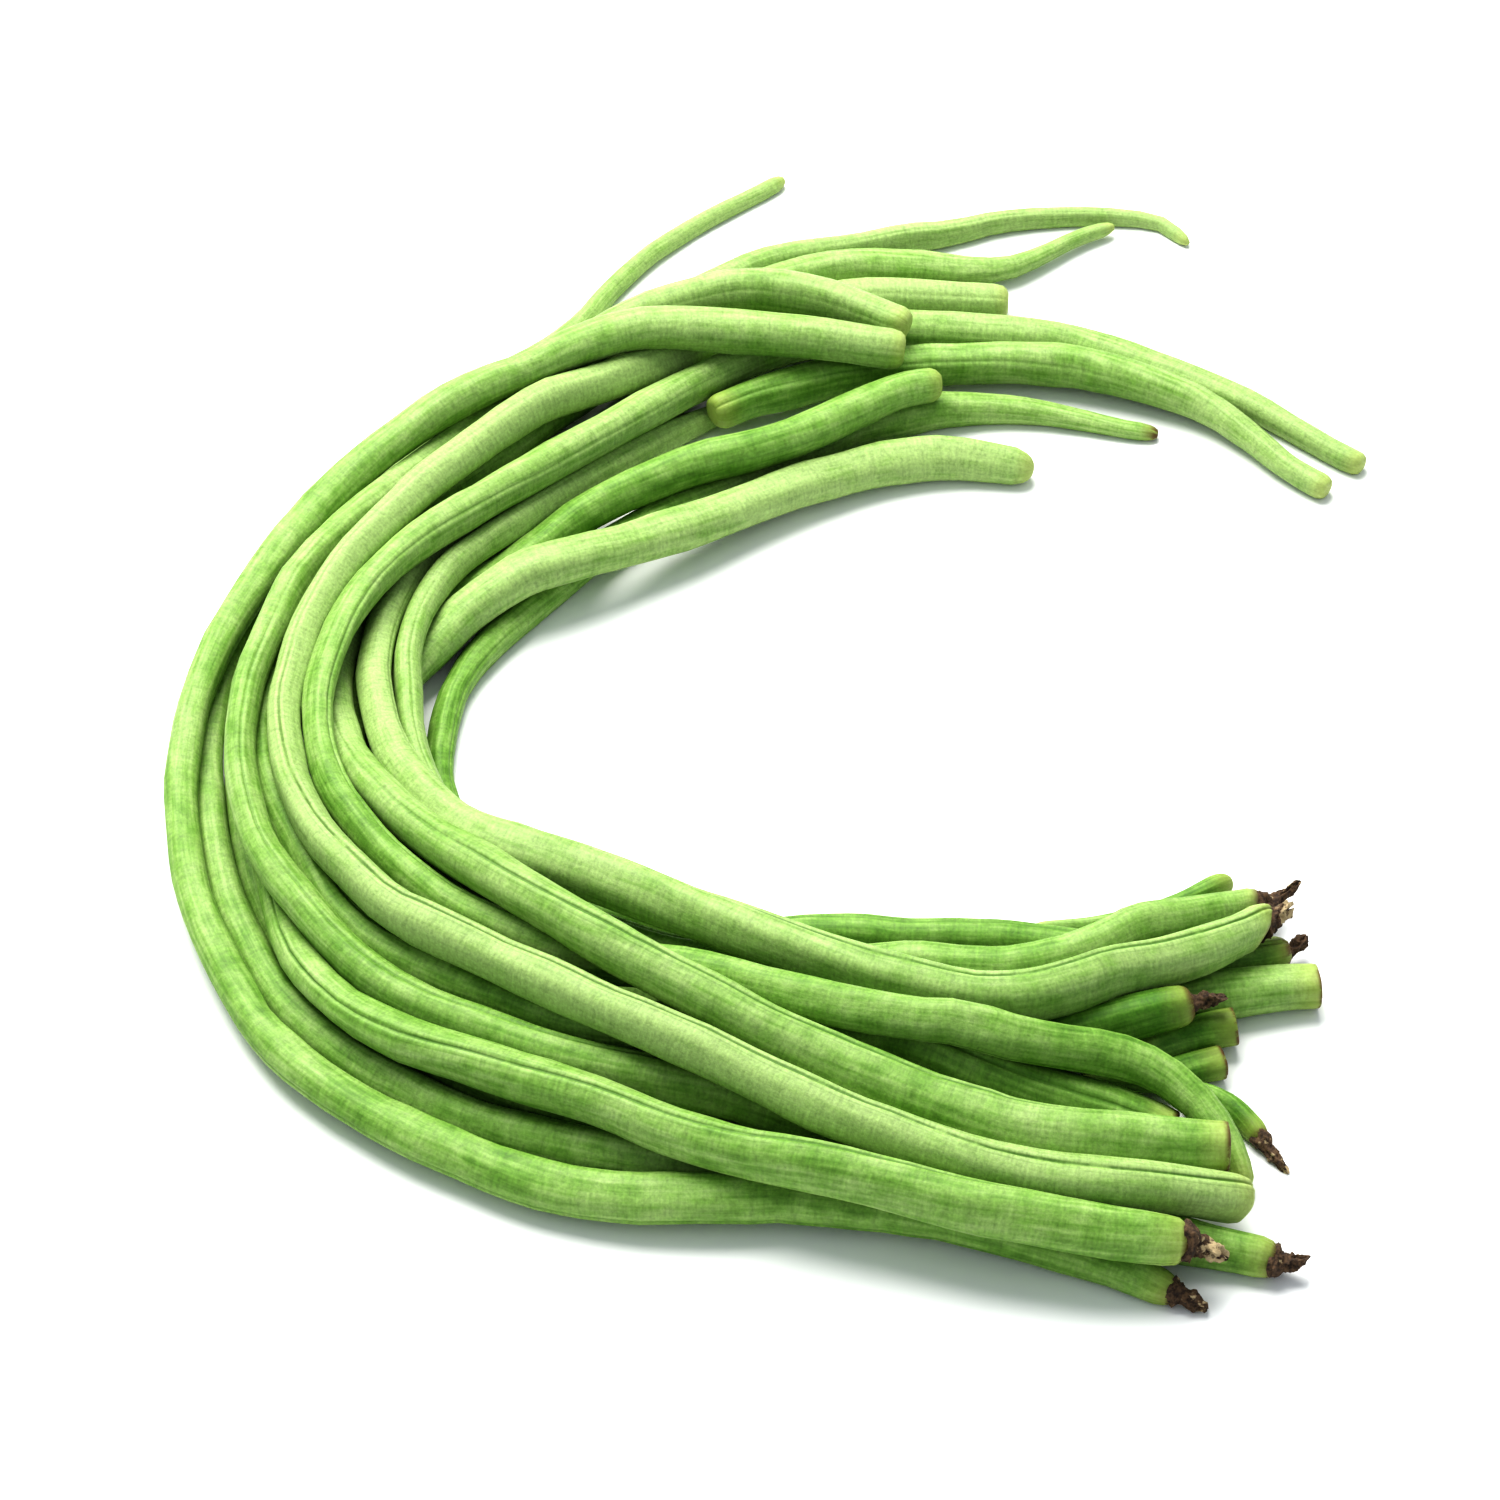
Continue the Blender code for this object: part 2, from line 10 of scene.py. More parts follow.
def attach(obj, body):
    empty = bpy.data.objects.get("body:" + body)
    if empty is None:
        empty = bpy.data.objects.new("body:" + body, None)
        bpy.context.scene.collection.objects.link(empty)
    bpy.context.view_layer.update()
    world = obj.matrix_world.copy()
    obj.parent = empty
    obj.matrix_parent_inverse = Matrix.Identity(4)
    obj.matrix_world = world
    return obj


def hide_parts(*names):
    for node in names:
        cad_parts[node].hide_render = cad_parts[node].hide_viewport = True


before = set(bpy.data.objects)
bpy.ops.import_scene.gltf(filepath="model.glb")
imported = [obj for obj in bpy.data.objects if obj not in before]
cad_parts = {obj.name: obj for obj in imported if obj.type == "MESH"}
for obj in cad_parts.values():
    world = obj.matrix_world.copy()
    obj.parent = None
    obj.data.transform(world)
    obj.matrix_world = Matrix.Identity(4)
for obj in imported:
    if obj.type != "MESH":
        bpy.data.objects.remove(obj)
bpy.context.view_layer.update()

millimetre = 0.001
tableGap = 0.02 * millimetre  # how far every skin stays over the table


# The view

view = {
    "elevation": 45.0,  # degrees above the table, looking along +Y
    "distance": 1.1,
    "aim": (-0.006915, -0.015369, 0.0),  # the point at the picture's middle
    "pictureSide": 1500,
    "unit": 0.00019,  # what one of the picture's columns spans at the aim point
    "sensor": 36.0,
    "farthest": 20.0,
}


def addCamera():
    tilt = math.radians(view["elevation"])
    back = Vector((0, -math.cos(tilt), math.sin(tilt)))
    place = Vector(view["aim"]) + back * view["distance"]
    bpy.ops.object.camera_add(location=place, rotation=(math.pi / 2 - tilt, 0, 0))
    camera = bpy.context.object
    camera.data.sensor_width = view["sensor"]
    camera.data.lens = view["distance"] / view["unit"] * view["sensor"] / view["pictureSide"]
    camera.data.clip_end = view["farthest"]
    bpy.context.scene.camera = camera


# Small helpers for modelling

def onlyThis(piece):
    bpy.ops.object.select_all(action="DESELECT")
    piece.select_set(True)
    bpy.context.view_layer.objects.active = piece


def placesOf(mesh):
    places = np.empty(len(mesh.vertices) * 3)
    mesh.vertices.foreach_get("co", places)
    return places.reshape(-1, 3)


def movePlaces(mesh, places):
    mesh.vertices.foreach_set("co", np.ravel(places))
    mesh.update()


def keepOffTable(mesh):
    places = placesOf(mesh)
    places[:, 2] = np.maximum(places[:, 2], tableGap)
    movePlaces(mesh, places)
    return places


def eased(value):
    value = np.clip(value, 0, 1)
    return value * value * (3 - 2 * value)


def addMark(mesh, name, values):
    # A number at each vertex, which a material reads by its name
    mark = mesh.attributes.new(name, "FLOAT", "POINT")
    mark.data.foreach_set("value", values)


def straightTube(name, sides, length, cuts):
    # A closed cylinder of radius 1 along +X from the origin, with its long edges cut into rings
    bpy.ops.mesh.primitive_cylinder_add(
        vertices=sides, radius=1, depth=length,
        location=(length / 2, 0, 0), rotation=(0, math.pi / 2, 0),
    )
    tube = bpy.context.object
    tube.name = name
    bpy.ops.object.transform_apply(location=True, rotation=True, scale=True)
    bpy.ops.object.mode_set(mode="EDIT")
    bpy.ops.mesh.select_all(action="DESELECT")
    bpy.ops.mesh.select_mode(type="EDGE")
    bpy.ops.object.mode_set(mode="OBJECT")
    for edge in tube.data.edges:
        ends = [tube.data.vertices[corner].co.x for corner in edge.vertices]
        edge.select = bool(abs(ends[0] - ends[1]) > 0.5 * length)
    bpy.ops.object.mode_set(mode="EDIT")
    bpy.ops.mesh.subdivide(number_cuts=cuts)
    bpy.ops.object.mode_set(mode="OBJECT")
    return tube


def finishPiece(piece, materials, node):
    piece.data.materials.clear()
    for material in materials:
        piece.data.materials.append(material)
    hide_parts(node)
    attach(piece, "root")


# The CAD tubes, read as courses

cadTube = {
    "corners": 8,  # of each ring
    "endFaces": 6,  # the triangles that close an end
    "merge": 1e-6,
    "flat": 0.99999,  # the least cosine between the faces of one end
    "uneven": 1.02,  # the most that a ring's corners differ in their reach
}


def flatAround(face):
    # The faces that lie flat with this one; the search stops when they are more than an end has
    flat = {face}
    waiting = [face]
    while waiting and len(flat) < cadTube["corners"]:
        for edge in waiting.pop().edges:
            for other in edge.link_faces:
                if other not in flat and other.normal.dot(face.normal) > cadTube["flat"]:
                    flat.add(other)
                    waiting.append(other)
    return flat


def firstRing(shape):
    # The corners of one of the tube's flat ends
    for face in shape.faces:
        flat = flatAround(face)
        corners = {corner for each in flat for corner in each.verts}
        if len(flat) == cadTube["endFaces"] and len(corners) == cadTube["corners"]:
            middle = sum((corner.co for corner in corners), Vector()) / len(corners)
            reaches = [(corner.co - middle).length for corner in corners]
            if max(reaches) < cadTube["uneven"] * min(reaches):
                return corners
    return set()


def ringsOf(node):
    # The middles and radii of a tube's rings, walked from one of its flat ends to the other
    shape = bmesh.new()
    shape.from_mesh(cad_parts[node].data)
    bmesh.ops.remove_doubles(shape, verts=shape.verts, dist=cadTube["merge"])
    shape.normal_update()
    ring = firstRing(shape)
    seen = set()
    middles = []
    radii = []
    while ring:
        seen |= ring
        corners = np.array([corner.co for corner in ring])
        middles.append(corners.mean(axis=0))
        radii.append(np.linalg.norm(corners - middles[-1], axis=1).mean())
        ring = {edge.other_vert(corner) for corner in ring for edge in corner.link_edges} - seen
    shape.free()
    return np.array(middles), np.array(radii)


def courseOf(node, startsLeft=False):
    # The same from stem end to tip; the stem ends lie in front and to the right
    middles, radii = ringsOf(node)
    order = middles[:, 0] if startsLeft else middles[:, 1] - middles[:, 0]
    if order[0] > order[-1]:
        return middles[::-1], radii[::-1]
    return middles, radii


def lengthsAlong(points):
    steps = np.linalg.norm(np.diff(points, axis=0), axis=1)
    return np.concatenate([[0], np.cumsum(steps)])


def smoothCourse(middles, spacing, steps=16, fewest=8):
    # A smooth line through the middles, with points this far apart
    padded = np.vstack([2 * middles[0] - middles[1], middles, 2 * middles[-1] - middles[-2]])
    t = np.linspace(0, 1, steps, endpoint=False)[:, None]
    parts = []
    for a, b, c, d in zip(padded[:-3], padded[1:-2], padded[2:-1], padded[3:]):
        bend = (2 * a - 5 * b + 4 * c - d) * t**2 + (3 * b - a - 3 * c + d) * t**3
        parts.append(0.5 * (2 * b + (c - a) * t + bend))
    dense = np.vstack(parts + [middles[-1:]])
    along = lengthsAlong(dense)
    stations = np.linspace(0, along[-1], max(fewest, round(along[-1] / spacing)) + 1)
    return np.stack([np.interp(stations, along, dense[:, axis]) for axis in range(3)], axis=1)


def layAlong(piece, points, tilts):
    # Bends a straight piece, which starts at the origin along +X, to follow the points
    guide = bpy.data.curves.new("guide", "CURVE")
    guide.dimensions = "3D"
    guide.twist_mode = "Z_UP"
    spline = guide.splines.new("POLY")
    spline.points.add(len(points) - 1)
    spline.points.foreach_set("co", np.hstack([points, np.ones((len(points), 1))]).ravel())
    spline.points.foreach_set("tilt", tilts)
    guideObject = bpy.data.objects.new("guide", guide)
    bpy.context.scene.collection.objects.link(guideObject)
    bend = piece.modifiers.new("along", "CURVE")
    bend.object = guideObject
    bend.deform_axis = "POS_X"
    onlyThis(piece)
    bpy.ops.object.modifier_apply(modifier=bend.name)
    bpy.data.objects.remove(guideObject)


# Materials

class Signal:
    # One socket of a material. Sums and products of signals add their Math nodes.
    def __init__(self, surface, socket):
        self.surface = surface
        self.socket = socket

    def math(self, operation, *others):
        inputs = dict(enumerate((self, *others)))
        return self.surface.node("ShaderNodeMath", {"operation": operation}, inputs)

    def __add__(self, other):
        return self.math("ADD", other)

    def __mul__(self, other):
        return self.math("MULTIPLY", other)

    def __sub__(self, other):
        return self.math("SUBTRACT", other)

    def __rsub__(self, other):
        inputs = {0: other, 1: self}
        return self.surface.node("ShaderNodeMath", {"operation": "SUBTRACT"}, inputs)

    __radd__ = __add__
    __rmul__ = __mul__


class Surface:
    # A material, with one method that adds any node
    def __init__(self, name):
        self.material = bpy.data.materials.new(name)
        self.material.use_nodes = True
        self.tree = self.material.node_tree
        self.shader = self.tree.nodes["Principled BSDF"]

    def node(self, kind, settings=None, inputs=None, output=0):
        made = self.tree.nodes.new(kind)
        for name, value in (settings or {}).items():
            setattr(made, name, value)
        for name, value in (inputs or {}).items():
            self.plug(made.inputs[name], value)
        return Signal(self, made.outputs[output])

    def plug(self, socket, value):
        if isinstance(value, Signal):
            self.tree.links.new(value.socket, socket)
        else:
            socket.default_value = value

    def finish(self, inputs):
        for name, value in inputs.items():
            self.plug(self.shader.inputs[name], value)
        return self.material

    def attribute(self, name):
        # A mark that the mesh holds, as a number
        return self.node("ShaderNodeAttribute", {"attribute_name": name}, output=2)

    def objectPlace(self):
        return self.node("ShaderNodeTexCoord", output=3)

    def vector(self, x, y, z):
        return self.node("ShaderNodeCombineXYZ", None, {0: x, 1: y, 2: z})

    def ramp(self, value, limits):
        # 0 below the first limit, 1 above the second, and smooth between
        inputs = {"Value": value, "From Min": limits[0], "From Max": limits[1]}
        return self.node("ShaderNodeMapRange", {"interpolation_type": "SMOOTHSTEP"}, inputs)

    def blend(self, share, under, over):
        inputs = {0: share, 6: under, 7: over}
        return self.node("ShaderNodeMix", {"data_type": "RGBA"}, inputs, output=2)

    def noise(self, place, scale, detail=2.0, roughness=0.5, seed=0.0):
        inputs = {
            "Vector": place, "W": seed, "Scale": scale, "Detail": detail, "Roughness": roughness,
        }
        return self.node("ShaderNodeTexNoise", {"noise_dimensions": "4D"}, inputs)

    def bump(self, height, strength, distance):
        inputs = {"Strength": strength, "Distance": distance, "Height": height}
        return self.node("ShaderNodeBump", None, inputs)


def colour(text):
    # A screen colour such as "8CC850" as the linear numbers that shaders take
    linear = []
    for place in (0, 2, 4):
        share = int(text[place:place + 2], 16) / 255
        linear.append(share / 12.92 if share < 0.04045 else ((share + 0.055) / 1.055) ** 2.4)
    return (*linear, 1)


skinLook = {
    "pale": colour("98B06F"),
    "middle": colour("779C48"),
    "deep": colour("47731C"),
    "seamDark": colour("3C6618"),
    "endTint": colour("B4B765"),
    "endBrown": colour("5E4628"),
    "podRadius": 0.0045,  # what the patterns take for every pod
    "patches": 42,  # this and the next four are in cells to the metre
    "clouds": 230,
    "grit": 1700,
    "streaks": 1000,
    "seamWaver": 90,
    "wrinkleSize": 0.0007,  # from one fine wrinkle to the next
    "wrinkleDepth": 0.0003,
    "wrinkleStrength": 0.45,
    "ringSquash": 0.2,  # how little the wrinkles change around a pod
    "streakSquash": 0.08,  # and the streaks along it
    "hatchShare": 0.35,  # what each pattern adds to the fine texture
    "gritShare": 0.45,
    "streakShare": 0.2,
    "contrast": 1.9,  # of the fine texture in the colour
    "darkest": 0.05,
    "patchShade": 0.2,  # what each adds to the shade
    "cloudShade": 0.18,
    "streakShade": 0.2,
    "toneShade": 0.25,
    "plainShade": 0.085,
    "toMiddle": (0.36, 0.52),  # where the shade goes over from one colour to the next
    "toPale": (0.46, 0.62),
    "cloudGaps": 0.4,  # what the clouds and patches add to the gaps in the seams
    "patchGaps": 0.6,
    "seamGaps": (0.34, 0.5),
    "seamWidth": (0.008, 0.03),  # this and the next three as shares of half the girth
    "seamSway": 0.03,
    "sidePlace": 0.1,
    "sideWidth": (0.002, 0.014),
    "seamStain": 0.8,
    "sideStain": 0.2,
    "endStain": 0.4,
    "rimGrit": 0.5,
    "rimBroken": (0.55, 0.8),
    "cloudRise": 0.4,  # heights in the bump, as shares of the fine texture's
    "seamSink": 0.5,
    "sideSink": 0.15,
    "roughness": 0.58,
    "roughnessChange": 0.3,
    "gloss": 0.28,
    "subsurface": 0.06,
    "glowReach": (0.6, 1.0, 0.25),
    "glowScale": 0.002,
}


def podSkin():
    skin = Surface("podSkin")
    look = skinLook
    uv = skin.node("ShaderNodeUVMap", {"uv_map": "UVMap"})
    around = skin.node("ShaderNodeSeparateXYZ", None, {0: uv}, output=0)
    along = skin.node("ShaderNodeSeparateXYZ", None, {0: uv}, output=1)
    seed = skin.attribute("seed")
    turn = around * (2 * math.pi)
    across = turn.math("COSINE") * look["podRadius"]
    up = turn.math("SINE") * look["podRadius"]
    straight = skin.vector(across, up, along)
    ringwise = skin.vector(across * look["ringSquash"], up * look["ringSquash"], along)
    lengthwise = skin.vector(across, up, along * look["streakSquash"])
    patches = skin.noise(straight, look["patches"], detail=3, seed=seed)
    clouds = skin.noise(straight, look["clouds"], seed=seed)
    grit = skin.noise(straight, look["grit"], roughness=0.6, seed=seed)
    hatch = skin.noise(ringwise, 1 / look["wrinkleSize"], roughness=0.6, seed=seed)
    streaks = skin.noise(lengthwise, look["streaks"], seed=seed)
    texture = hatch * look["hatchShare"] + grit * look["gritShare"]
    texture = texture + streaks * look["streakShare"]
    # How far a point is from the nearer of the two seams, as a share of half the girth
    fromSeam = ((around * 2.0).math("FRACT") - 0.5).math("ABSOLUTE")
    waver = skin.noise(straight, look["seamWaver"], seed=seed) - 0.5
    fromSeam = fromSeam + waver * look["seamSway"]
    gaps = clouds * look["cloudGaps"] + patches * look["patchGaps"]
    seamShown = skin.attribute("seamMark") * skin.ramp(gaps, look["seamGaps"])
    seamLine = (1 - skin.ramp(fromSeam, look["seamWidth"])) * seamShown
    fromSide = (fromSeam - look["sidePlace"]).math("ABSOLUTE")
    sideLine = (1 - skin.ramp(fromSide, look["sideWidth"])) * seamShown
    # The colour, from the broad shades to the fine marks
    # The tone mark adds each pod's own paleness and, for the pods that lie under others, painted
    # shade
    shade = patches * look["patchShade"] + clouds * look["cloudShade"]
    shade = shade + streaks * look["streakShade"] + skin.attribute("toneAndShade") * look["toneShade"]
    shade = shade + look["plainShade"]
    base = skin.blend(skin.ramp(shade, look["toMiddle"]), look["deep"], look["middle"])
    base = skin.blend(skin.ramp(shade, look["toPale"]), base, look["pale"])
    light = texture * look["contrast"] + look["darkest"]
    base = skin.node("ShaderNodeVectorMath", {"operation": "SCALE"}, {0: base, "Scale": light})
    base = skin.blend(sideLine * look["sideStain"], base, look["seamDark"])
    base = skin.blend(seamLine * look["seamStain"], base, look["seamDark"])
    base = skin.blend(skin.attribute("nearEnd") * look["endStain"], base, look["endTint"])
    broken = skin.ramp(clouds + grit * look["rimGrit"], look["rimBroken"])
    brown = skin.attribute("atRim") * broken
    base = skin.blend(brown, base, look["endBrown"])
    height = texture + clouds * look["cloudRise"]
    height = height - seamLine * look["seamSink"] - sideLine * look["sideSink"]
    return skin.finish({
        "Base Color": base,
        "Roughness": look["roughness"] + (texture - 0.5) * look["roughnessChange"],
        "Normal": skin.bump(height, look["wrinkleStrength"], look["wrinkleDepth"]),
        "Subsurface Weight": look["subsurface"],
        "Subsurface Radius": look["glowReach"],
        "Subsurface Scale": look["glowScale"],
        "Specular IOR Level": look["gloss"],
    })


fleshLook = {
    "green": colour("A9BE62"),
    "pale": colour("CBDA8C"),
    "aired": colour("7C7440"),
    "grain": 1500,
    "blotch": 260,
    "toPale": (0.35, 0.7),
    "toAired": (0.5, 0.68),
    "airedShare": 0.7,
    "grainDepth": 0.0002,
    "grainStrength": 0.6,
    "roughness": 0.55,
    "roughnessChange": 0.2,
    "subsurface": 0.15,
    "glowReach": (0.6, 1.0, 0.3),
    "glowScale": 0.002,
}


def cutFlesh():
    # The pale inside of a snapped pod, browned by the air in places
    flesh = Surface("cutFlesh")
    look = fleshLook
    place = flesh.objectPlace()
    grain = flesh.noise(place, look["grain"], detail=3)
    blotch = flesh.noise(place, look["blotch"])
    base = flesh.blend(flesh.ramp(grain, look["toPale"]), look["green"], look["pale"])
    aired = flesh.ramp(blotch, look["toAired"]) * look["airedShare"]
    base = flesh.blend(aired, base, look["aired"])
    return flesh.finish({
        "Base Color": base,
        "Roughness": look["roughness"] + grain * look["roughnessChange"],
        "Normal": flesh.bump(grain, look["grainStrength"], look["grainDepth"]),
        "Subsurface Weight": look["subsurface"],
        "Subsurface Radius": look["glowReach"],
        "Subsurface Scale": look["glowScale"],
    })


dryLook = {
    "dark": colour("2C1E14"),
    "brown": colour("66503A"),
    "faded": colour("B8A682"),
    "grain": 1100,
    "blotch": 500,
    "toBrown": (0.35, 0.65),
    "toFaded": (0.4, 0.6),
    "fadedShare": 0.85,
    "blotchPull": 2.2,  # how far the blotches move the faded parts
    "grainDepth": 0.0004,
    "grainStrength": 0.9,
    "roughness": 0.75,
    "roughnessChange": 0.2,
}


def dryCup():
    # The shrivelled flower cup and stalk: dark brown, with paler patches toward the end
    dry = Surface("dryCup")
    look = dryLook
    place = dry.objectPlace()
    grain = dry.noise(place, look["grain"], detail=4, roughness=0.65)
    blotch = dry.noise(place, look["blotch"])
    base = dry.blend(dry.ramp(grain, look["toBrown"]), look["dark"], look["brown"])
    faded = dry.attribute("fade") + (blotch - 0.5) * look["blotchPull"] + (grain - 0.5)
    faded = dry.ramp(faded, look["toFaded"]) * look["fadedShare"]
    base = dry.blend(faded, base, look["faded"])
    return dry.finish({
        "Base Color": base,
        "Roughness": look["roughness"] + grain * look["roughnessChange"],
        "Normal": dry.bump(grain, look["grainStrength"], look["grainDepth"]),
    })


# The pods

podShape = {
    "sides": 44,
    "ringSpacing": 0.0016,
    "courseSpacing": 0.0015,
    "swell": 0.0002,  # past the CAD radius, so that neighbours look in touch
    "lump": 0.034,  # share of the radius that the seeds lift
    "seedSpacing": 0.0115,
    "flutes": 0.04,  # share of the radius
    "flatter": 0.02,  # share of the radius that the sides lose to the seams
    "flatterChange": 0.03,
    "fluteDrift": 2.5,
    "wander": 0.00022,  # sideways, over the seeds
    "roll": 14,  # degrees that the seams sway
    "slowWaves": 5,  # how much slower the flutes and the roll change than the seeds
    "seamDepth": 0.00030,
    "seamWidth": 0.00032,
    "seamRidge": 0.00020,
    "ridgePlace": 0.0009,  # from the seam
    "ridgeWidth": 0.00045,
    "seamRadius": 0.0042,  # what the seams take for every pod
    "seamFull": 0.003,  # pods thinner than this have shallower seams
    "seamCrowd": 0.72,  # how much closer the corners stand at the seams
    "seamFade": (0.36, 0.76),  # where the seams fade, as shares of the length
    "faintSeam": 0.3,  # the relief left of a seam without a mark
    "tipSeam": 0.2,  # and past the fade
    "slantReach": 0.012,
    "toneShares": (0, 0.4, 1),  # of the length
    "toneChange": (-0.05, 0.0, 0.3),
    "patternStep": 3.7,  # from one pod's pattern to the next
    "smoothAngle": 50,
}

# Where each kind of wave is read from the noise
waveSeeds = {
    "lump": 0.0,
    "flatter": 3.0,
    "flutes": (5.0, 9.0),
    "wander": (11.0, 17.0),
    "roll": 23.0,
    "podStep": 7.3,  # from one pod to the next
    "finer": 2.3,  # the second layer, at half the height
}

# For each pod: its stem end and tip, how pale it is, how strong its seams are, and how they turn,
# as shares of the length and degrees. How pale a pod is stands for its own tone and, in the pods
# that lie under the others such as pod_16 and pod_17, for painted shade. A few also have a
# thickness that changes, a slanting stem end (how far one side stands back, and which side), a
# wider brown rim, or a brown spot and its distance from the tip.
pods = {
    "pod_01": {
        "stem": "cup", "tip": "blunt", "toneAndShade": 0.5, "mark": 0.35,
        "seam": [(0, 60), (0.5, 100), (1, 60)],
    },
    "pod_02": {
        "stem": "cup", "tip": "point", "toneAndShade": 0.55, "mark": 0.2,
        "seam": [(0, 20), (1, 140)],
    },
    "pod_03": {
        "stem": "cup", "tip": "point", "toneAndShade": 0.6, "mark": 0.8,
        "seam": [(0, 70), (0.12, 10), (0.3, -30), (1, 30)],
    },
    "pod_04": {
        "stem": "cut", "tip": "blunt", "toneAndShade": 0.3, "mark": 0.3,
        "seam": [(0, 0), (1, 90)],
    },
    "pod_05": {
        "stem": "cut", "tip": "blunt", "toneAndShade": 0.55, "mark": 0.5,
        "seam": [(0, 30), (0.5, 0), (1, 60)],
    },
    "pod_06": {
        "stem": "cut", "tip": "point", "toneAndShade": 0.45, "mark": 0.6,
        "girth": [(0, 1.14), (0.15, 1.12), (0.3, 1)],
        "seam": [(0, -20), (0.4, 40), (1, 80)],
    },
    "pod_07": {
        "stem": "blunt", "tip": "blunt", "toneAndShade": 0.9, "mark": 1.0,
        "seam": [(0, 0), (0.3, 20), (0.6, -20), (1, 40)],
    },
    "pod_08": {
        "stem": "cut", "tip": "blunt", "toneAndShade": 0.6, "mark": 1.0,
        "seam": [(0, 40), (0.35, 10), (0.7, -30), (1, 20)],
    },
    "pod_09": {
        "stem": "blunt", "tip": "blunt", "toneAndShade": 0.55, "mark": 0.5, "spot": 0.016,
        "girth": [(0, 0.85), (0.35, 0.88), (0.5, 1)],
        "seam": [(0, 80), (0.3, 30), (1, 70)],
    },
    "pod_10": {
        "stem": "cup", "tip": "blunt", "toneAndShade": 0.75, "mark": 1.0, "rim": 0.0028,
        "slant": (0.005, 315),
        "seam": [(0, -5), (0.25, 20), (0.45, 60), (1, 40)],
    },
    "pod_11": {
        "stem": "cup", "tip": "blunt", "toneAndShade": 0.6, "mark": 0.7, "rim": 0.0022,
        "slant": (0.003, 315),
        "seam": [(0, 50), (1, 0)],
    },
    "pod_12": {
        "stem": "cup", "tip": "dry", "toneAndShade": 0.35, "mark": 0.4, "rim": 0.0026,
        "seam": [(0, 0), (1, 90)],
    },
    "pod_13": {
        "stem": "cut", "tip": "round", "toneAndShade": 0.6, "mark": 0.3,
        "seam": [(0, 100), (0.5, 60), (1, 120)],
    },
    "pod_14": {
        "stem": "cup", "tip": "blunt", "toneAndShade": 0.25, "mark": 0.2,
        "seam": [(0, 20), (1, 60)],
    },
    "pod_15": {
        "stem": "round", "tip": "blunt", "toneAndShade": 0.35, "mark": 0.2,
        "seam": [(0, 20), (1, 60)],
    },
    # pod_16 lies under the others: its low tone is painted shade
    "pod_16": {
        "stem": "cut", "tip": "blunt", "toneAndShade": 0.1, "mark": 0.1,
        "seam": [(0, 20), (1, 60)],
    },
    # pod_17 lies under the others: its low tone is painted shade
    "pod_17": {
        "stem": "cut", "tip": "blunt", "toneAndShade": 0.12, "mark": 0.1,
        "seam": [(0, 80), (1, 60)],
    },
    "pod_18": {
        "stem": "blunt", "tip": "blunt", "toneAndShade": 0.5, "mark": 0.2, "startsLeft": True,
        "seam": [(0, 30), (1, 80)],
    },
    "pod_19": {
        "stem": "cup", "tip": "blunt", "toneAndShade": 0.2, "mark": 0.2,
        "seam": [(0, 20), (1, 60)],
    },
}

# How far an end's rounding reaches along the pod, and the share of the radius left at the very end
endForms = {
    "cut": (0.0005, 0.9),
    "blunt": (0.0026, 0.5),
    "round": (0.0050, 0.12),
    "cup": (0.0032, 0.5),
    "point": (0.0040, 0.10),
    "dry": (0.0040, 0.30),
}

# How far the colours of the ends reach
endColours = {
    "stemTint": 0.007,
    "tipTint": 0.004,
    "cutRim": 0.0007,
    "dryRim": 0.0014,
    "rimStart": 0.0003,
    "spot": 0.0016,
    "spotBand": 0.001,
    "spotStrength": 1.5,
}

cutShape = {
    "steps": [(0.88, 0.0), (0.95, 0.0003), (0.6, 0.0003), (0.5, -0.0001)],  # shrink and sink
    "nearEnd": 0.004,
    "depth": 0.002,
    "inside": 0.8,  # the share of the radius inside the rim
}


def endShare(distance, form):
    # The share of the radius at this distance from an end: a quarter of an ellipse
    reach, left = endForms[form]
    rise = np.clip(distance / reach, 0, 1)
    return left + (1 - left) * np.sqrt(1 - (1 - rise) ** 2)


def ringStations(length):
    # Rings stand close together at the ends, where the pod rounds off
    ends = np.array([0, 0.05, 0.15, 0.3, 0.5, 0.8, 1.2, 1.7, 2.3, 3.0, 3.9, 5.0]) * millimetre
    middleLength = length - 2 * ends[-1]
    count = max(2, round(middleLength / podShape["ringSpacing"]))
    middle = np.linspace(ends[-1], length - ends[-1], count + 1)[1:-1]
    return np.concatenate([ends, middle, length - ends[::-1]])


def waves(name, along, seed):
    # An uneven line of hills and hollows over the seeds, each pod with its own
    hills = np.zeros(len(along))
    for place, distance in enumerate(along):
        pod = int(name[-2:]) * waveSeeds["podStep"]
        where = Vector((distance / podShape["seedSpacing"], pod, seed))
        hills[place] = noise.noise(where) + 0.5 * noise.noise(where * waveSeeds["finer"])
    return hills


def slowWaves(name, along, seed):
    return waves(name, along / podShape["slowWaves"], seed)


def seamsShown(share):
    # 1 in the stem end's part of the pod and 0 toward the tip
    start, end = podShape["seamFade"]
    return 1 - eased((share - start) / (end - start))


def ringRadii(name, length, stations, radii):
    details = pods[name]
    lumps = podShape["lump"] * waves(name, stations, waveSeeds["lump"])
    radius = (radii + podShape["swell"]) * (1 + lumps)
    shares, girths = zip(*details.get("girth", [(0, 1), (1, 1)]))
    radius *= np.interp(stations / length, shares, girths)
    ends = endShare(stations, details["stem"]) * endShare(length - stations, details["tip"])
    return radius * ends


